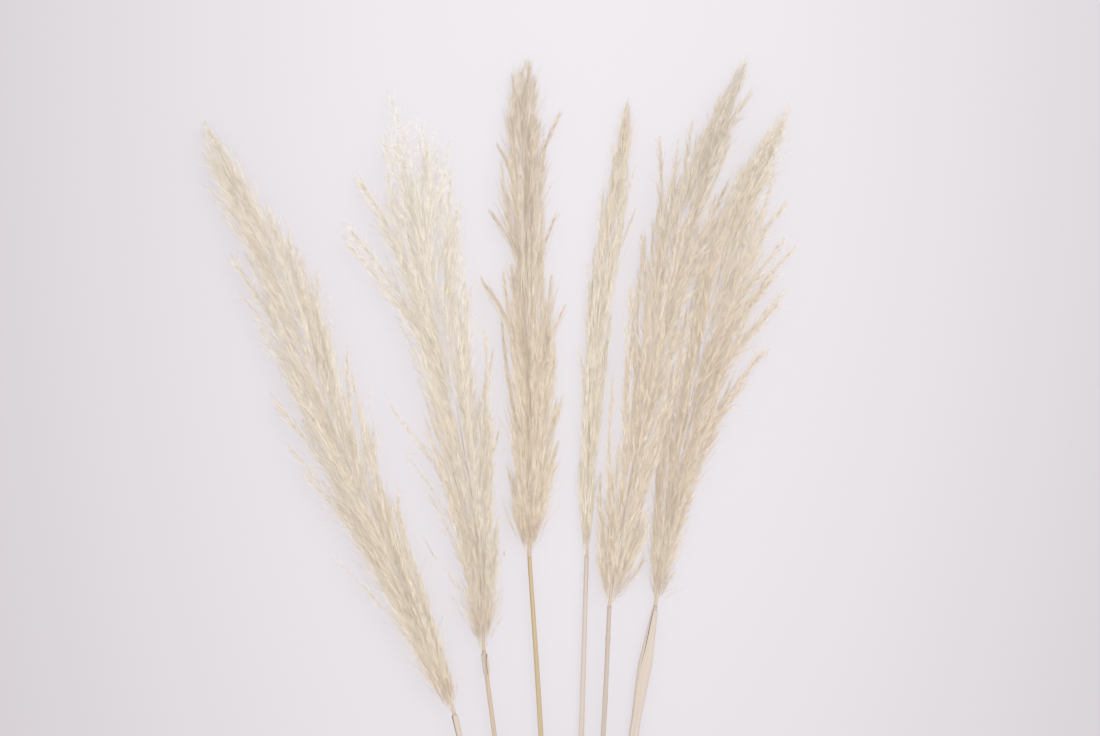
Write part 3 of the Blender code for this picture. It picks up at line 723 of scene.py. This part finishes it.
def long_hair(cuts):
    """A three-sided thread, one unit long, with rings to bend it at and a fine tip."""
    rod = upright_rod(3, cuts)
    bpy.ops.object.mode_set(mode="EDIT")
    bpy.ops.mesh.select_all(action="SELECT")
    bpy.ops.mesh.quads_convert_to_tris()
    bpy.ops.object.mode_set(mode="OBJECT")
    points = points_of(rod.data)
    faces = np.array([face.vertices[:] for face in rod.data.polygons])
    points[:, :2] *= 1.0 - 0.85 * points[:, 2:]
    bpy.data.objects.remove(rod)
    return points, faces


HAIR = straight_hair()
THREAD = long_hair(7)
RACHIS = long_hair(30)
CURL = long_hair(4)
HUSK = long_hair(3)


def strewn(shape, line, radius):
    """Copies of a hair, each laid along its own line: line(height) gives a place for each.

    Side, up and ahead mirror the shape, so its faces are turned round to point outwards.
    """
    points, faces = shape
    spots = np.empty((len(radius), len(points), 3))
    ahead = unit(line(0.55) - line(0.45))
    side = unit(np.cross(ahead, [0.0, 0.0, 1.0]))
    up = np.cross(side, ahead)
    for k, (x, y, height) in enumerate(points):
        spots[:, k] = line(height) + (side * x + up * y) * radius[:, None]
    return spots, faces[:, ::-1]


def one_mesh(name, parts):
    """One mesh from every hair, with its tone and warmth in the map that colours it."""
    places, corners, tones = [], [], []
    start = 0
    for spots, faces, tone, warmth in parts:
        count, per = spots.shape[:2]
        corner = (faces[None] + np.arange(count)[:, None, None] * per).reshape(-1)
        places.append(spots.reshape(-1, 3))
        corners.append(corner + start)
        tones.append(np.stack([tone, warmth], -1)[corner // per])
        start += count * per
    place, corner = np.concatenate(places), np.concatenate(corners)
    mesh = bpy.data.meshes.new(name)
    mesh.vertices.add(len(place))
    mesh.vertices.foreach_set("co", place.astype(np.float32).ravel())
    mesh.loops.add(len(corner))
    mesh.loops.foreach_set("vertex_index", corner.astype(np.int32))
    mesh.polygons.add(len(corner) // 3)
    mesh.polygons.foreach_set("loop_start", np.arange(0, len(corner), 3, dtype=np.int32))
    mesh.update(calc_edges=True)
    floss = mesh.uv_layers.new(name="OFBake")
    tone = np.clip(np.concatenate(tones), 0.01, 0.99)
    floss.data.foreach_set("uv", tone.astype(np.float32).ravel())
    return mesh


def floss_finish():
    """Silky seed hair: its tone runs from shadowed to bleached, its warmth from grey to tan.

    It also has a painted glow: a little light of its own, standing in for the light scattered in
    it.
    """
    finish = Finish("plume_floss", 0.7)
    tone, warmth = finish.uv("OFBake")
    cool = tone.mix((0.57, 0.50, 0.42), (0.98, 0.96, 0.92))
    warm = tone.mix((0.55, 0.28, 0.10), (0.97, 0.88, 0.72))
    # The emission here is a painted glow, not a colour that the floss has.
    finish.skin({"Base Color": warmth.mix(cool, warm), "Emission Color": (1.0, 0.945, 0.85),
                 "Emission Strength": FLOSS_PAINTED_GLOW})
    skin = Wire(finish, finish.shader.outputs[0])
    through = finish.node("BsdfTranslucent", {}, {"Color": (1.0, 0.97, 0.93)})[0]
    both = finish.node("MixShader", {}, {0: FLOSS_LETS_THROUGH, 1: skin, 2: through})[0]
    finish.give(finish.tree.nodes["Material Output"], {"Surface": both})
    return finish.material


def tones_of(name, share, branch, draw):
    """Light and warmth for each place: the plume's own run of colour, varied by the branch."""
    plume = PLUMES[name]
    spread = draw.normal(size=(2, branch.max() + 1)) * BRANCHES_VARY
    light = 0.5 + 0.5 * (np.interp(share, *plume["light"]) + spread[0, branch])
    light = light - NECK_SHADE * np.maximum(0, 1 - share / NECK_SHARE)
    warmth = np.interp(share, *plume["warmth"]) + spread[1, branch]
    return light, warmth


def share_along(name, place):
    """How far up its plume a place is."""
    axis = AXES[name]
    return np.interp(place[:, 1], axis.line[:, 1], axis.along / axis.length)


def wisps_of(name, corners, fullness, draw):
    """Small wisps of hair: each one's branch, how far out on it, start, way, length and bend."""
    plume = PLUMES[name]
    count = plume["hairs"] // HAIRS_A_WISP

    # Longer and fuller branches get more wisps, and none starts at a branch's very end.
    weight = np.linalg.norm(corners[2] - corners[0], axis=1) * fullness
    weight[plume["branches"]:] *= TASSEL_SHARE
    weight[:plume["branches"]:COLLAR_EVERY] *= COLLAR_SHARE
    owner = draw.choice(len(weight), count, p=weight / weight.sum())
    branch, full, tassel = corners[:, owner], fullness[owner], owner >= plume["branches"]
    t = draw.random(count) ** 0.85 * 0.93
    base = on_branch(branch, t)
    ahead = unit(on_branch(branch, np.minimum(t + 0.04, 1.0))
                 - on_branch(branch, np.maximum(t - 0.04, 0.0)))

    # A wisp goes along its branch and fans away from it, mostly to the outside of the plume.
    outward = unit(base - AXES[name].at(share_along(name, base)))
    sideways = unit(draw.normal(size=(count, 3)) + 0.5 * outward)
    sideways = unit(sideways - ahead * (sideways * ahead).sum(-1, keepdims=True))
    fan = np.radians(np.where(outward[:, 0] < 0, *plume["spread"]))
    fan = fan * np.abs(draw.normal(size=count)) * (0.3 + 0.7 * full) * (1.15 - 0.7 * t)
    fan = np.where(tassel, TASSEL_FAN * fan, fan)
    fan = np.where(draw.random(count) < STRAYS, STRAY_FAN * fan, fan)
    fan = np.minimum(fan, WIDEST_FAN)
    forward = ahead * np.cos(fan)[:, None] + sideways * np.sin(fan)[:, None]

    # It ends a little past its branch's tip at most, and bends back in line with the branch.
    long = np.interp(t, (0, 1), plume["hair_lengths"]) * draw.uniform(0.5, 1.15, count)
    long = long * (0.6 + 0.4 * np.minimum(full, 1.0))
    left = np.linalg.norm(branch[2] - base, axis=1)
    long = np.minimum(long, np.where(tassel, 0.008, 0.003) + 1.05 * left)
    bend = draw.uniform(0.0, 0.7, count) - 0.35 * tassel
    bend = (ahead - forward) * (long * bend)[:, None]
    bend += unit(draw.normal(size=(count, 3))) * (long * 0.05)[:, None]
    return owner, t, base, forward, long, bend


def hairs_of(name, corners, fullness, draw):
    """The fine hairs of a plume, a few to each wisp, which stand a little apart at their roots."""
    owner, t, base, forward, long, bend = wisps_of(name, corners, fullness, draw)
    share = share_along(name, base)
    each = np.repeat(np.arange(len(owner)), HAIRS_A_WISP)
    total = len(each)
    starts = draw.uniform(0.0, 0.30, total)
    ends = draw.uniform(0.75, 1.10, total)
    loose = PLUMES[name]["loft"] * (1 - 0.5 * t[each]) * draw.random(total) ** 0.5
    offset = unit(draw.normal(size=(total, 3))) * loose[:, None]
    base, forward, long, bend = base[each], forward[each], long[each], bend[each]

    def line(height):
        s = (starts + (ends - starts) * height)[:, None]
        return base + forward * long[:, None] * s + bend * s ** 2 + offset * (1 - 0.5 * s)

    radius = draw.uniform(0.3, 1.0, total) ** 2 * HAIR_RADIUS
    last = (share[each] - FINER_FROM) / (1 - FINER_FROM)
    radius = radius * (1 - FINER_AT_TIP * np.clip(last, 0, 1))
    spots, faces = strewn(HAIR, line, radius)
    light, warmth = tones_of(name, share, owner, draw)
    light = light[each] + draw.normal(size=total) * HAIRS_VARY
    return keep_clear(name, spots), faces, light, warmth[each]


def threads_of(name, corners, draw):
    """The thread down the middle of each branch."""
    spots, faces = strewn(THREAD, lambda height: on_branch(corners, height),
                          np.full(corners.shape[1], THREAD_RADIUS))
    share = share_along(name, corners[1])
    light, warmth = tones_of(name, share, np.arange(len(share)), draw)
    return keep_clear(name, spots), faces, light - 0.03, warmth


def rachis_of(name):
    """The end of the stem, which runs on up the middle of the plume."""

    def line(height):
        return AXES[name].at(np.array([RACHIS_REACH * height ** 1.5]))

    spots, faces = strewn(RACHIS, line, np.array([NECK_RADIUS]))
    return spots, faces, np.array([0.02]), np.array([0.2])


def curls_of(name, corners, draw):
    """Short curled hairs over a stretch of the plume and out on its first tassels."""
    plume = PLUMES[name]
    count, low, high = plume["curls"]
    share = draw.uniform(low, high, count)
    base = in_plume(name, share, draw.uniform(0, math.pi, count), draw.random(count) ** 0.5)
    owner = plume["branches"] + draw.integers(0, CURLED_TASSELS, count)
    out = on_branch(corners[:, owner], draw.uniform(0.5, 1.0, count))
    base = np.where(draw.random((count, 1)) < CURLS_ON_TASSELS, out, base)
    size = draw.uniform(*CURL_SIZES, count)[:, None]
    first = unit(draw.normal(size=(count, 3)) * (1, 1, 0.6))
    second = unit(np.cross(first, draw.normal(size=(count, 3))))
    turn = draw.uniform(0, 2 * math.pi, count)[:, None]
    sweep = draw.uniform(*CURL_TURNS, count)[:, None]

    def line(height):
        angle = turn + sweep * height
        return base + size * (first * (np.cos(angle) - np.cos(turn))
                              + second * (np.sin(angle) - np.sin(turn)))

    spots, faces = strewn(CURL, line, draw.uniform(*CURL_RADII, count))
    light, warmth = tones_of(name, share, np.arange(count) % CURL_TUFTS, draw)
    return keep_clear(name, spots), faces, light + draw.normal(size=count) * 0.06, warmth - 0.05


def husks_of(name, draw):
    """The few brown husks that cling to the floss."""
    x, y = np.reshape(PLUMES[name]["husks"], (-1, 2)).T
    base = np.stack([x + MEET[0], y + MEET[1], 0 * x], -1)
    base[:, 2] = AXES[name].passing(base[:, 1])[1] + HUSK_LIFT
    lean = np.stack([draw.uniform(-0.3, 0.3, len(x)), np.ones(len(x)), 0 * x], -1)
    spots, faces = strewn(HUSK, lambda height: base + HUSK_LENGTH * height * lean,
                          np.full(len(x), HUSK_RADIUS))
    return spots, faces, np.full(len(x), 0.01), np.full(len(x), 0.6)


def make_plume(name, material):
    """One plume, as a single mesh of all its hairs, threads and husks."""
    draw = np.random.default_rng(int(name))
    corners, fullness = branches_of(name, draw)
    parts = [hairs_of(name, corners, fullness, draw), threads_of(name, corners, draw),
             rachis_of(name), curls_of(name, corners, draw), husks_of(name, draw)]
    mesh = one_mesh(f"floss_{name}", parts)
    mesh.materials.append(material)
    made = bpy.data.objects.new(mesh.name, mesh)
    bpy.context.scene.collection.objects.link(made)
    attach(made, "root")
    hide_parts(f"plume_{name}")


plume_floss = floss_finish()
for name in PLUMES:
    make_plume(name, plume_floss)


# ---- Floor, light and camera -------------------------------------------------------------------
# A pale, faintly pink floor under very soft light, seen from straight above. The floor gives off
# some light of its own, so that shadows on it stay faint, and it dims away from a bright middle.

BRIGHT_AT = (0.06, 0.50)
DIMS = (3.4, 0.60)  # how fast it dims with the square of the way across and along
DIMMEST = 3.2  # where it stops, as the sum of the two

bpy.ops.object.select_all(action="DESELECT")
bpy.ops.mesh.primitive_plane_add(size=12, location=(0, 0, 0))
floor = bpy.context.object
floor.name = "floor"
pale = Finish("floor", 0.9)
place = pale.node("TexCoord", {}, {})[3]  # its Object output, the place on the floor itself
x, y = pale.across(place)
x, y = x - BRIGHT_AT[0], y - BRIGHT_AT[1]
away = (x * x * DIMS[0] + y * y * DIMS[1]).from_to(0.0, DIMMEST)
dimmed = 2.0 * away - away * away
pale.skin({"Base Color": (0.16, 0.153, 0.156), "Emission Strength": 0.72,
           "Emission Color": dimmed.mix((0.895, 0.855, 0.895), (0.50, 0.46, 0.49))})
floor.data.materials.append(pale.material)

world = bpy.data.worlds.new("studio")
bpy.context.scene.world = world
world.use_nodes = True
world.node_tree.nodes["Background"].inputs["Color"].default_value = (1.0, 0.985, 0.98, 1)
world.node_tree.nodes["Background"].inputs["Strength"].default_value = 1.10

bpy.ops.object.light_add(type="AREA", location=(0.9, 1.2, 1.9))
key = bpy.context.object
key.data.shape = "DISK"
key.data.size = 1.6
key.data.energy = 18
aim = np.array([0.0, 0.2, 0.0]) - np.array(key.location)
key.rotation_euler = (math.atan2(math.hypot(aim[0], aim[1]), -aim[2]), 0,
                      math.atan2(aim[1], aim[0]) - math.pi / 2)

CAMERA_HEIGHT = 2.6
SENSOR = 36
VIEW_WIDTH = 1.1  # of the floor that the camera takes in
bpy.ops.object.camera_add(location=(0.049, 0.2395, CAMERA_HEIGHT), rotation=(0, 0, 0))
camera = bpy.context.object
camera.data.sensor_width = SENSOR
camera.data.lens = SENSOR * CAMERA_HEIGHT / VIEW_WIDTH
bpy.context.scene.camera = camera
bpy.context.scene.view_settings.view_transform = "Standard"
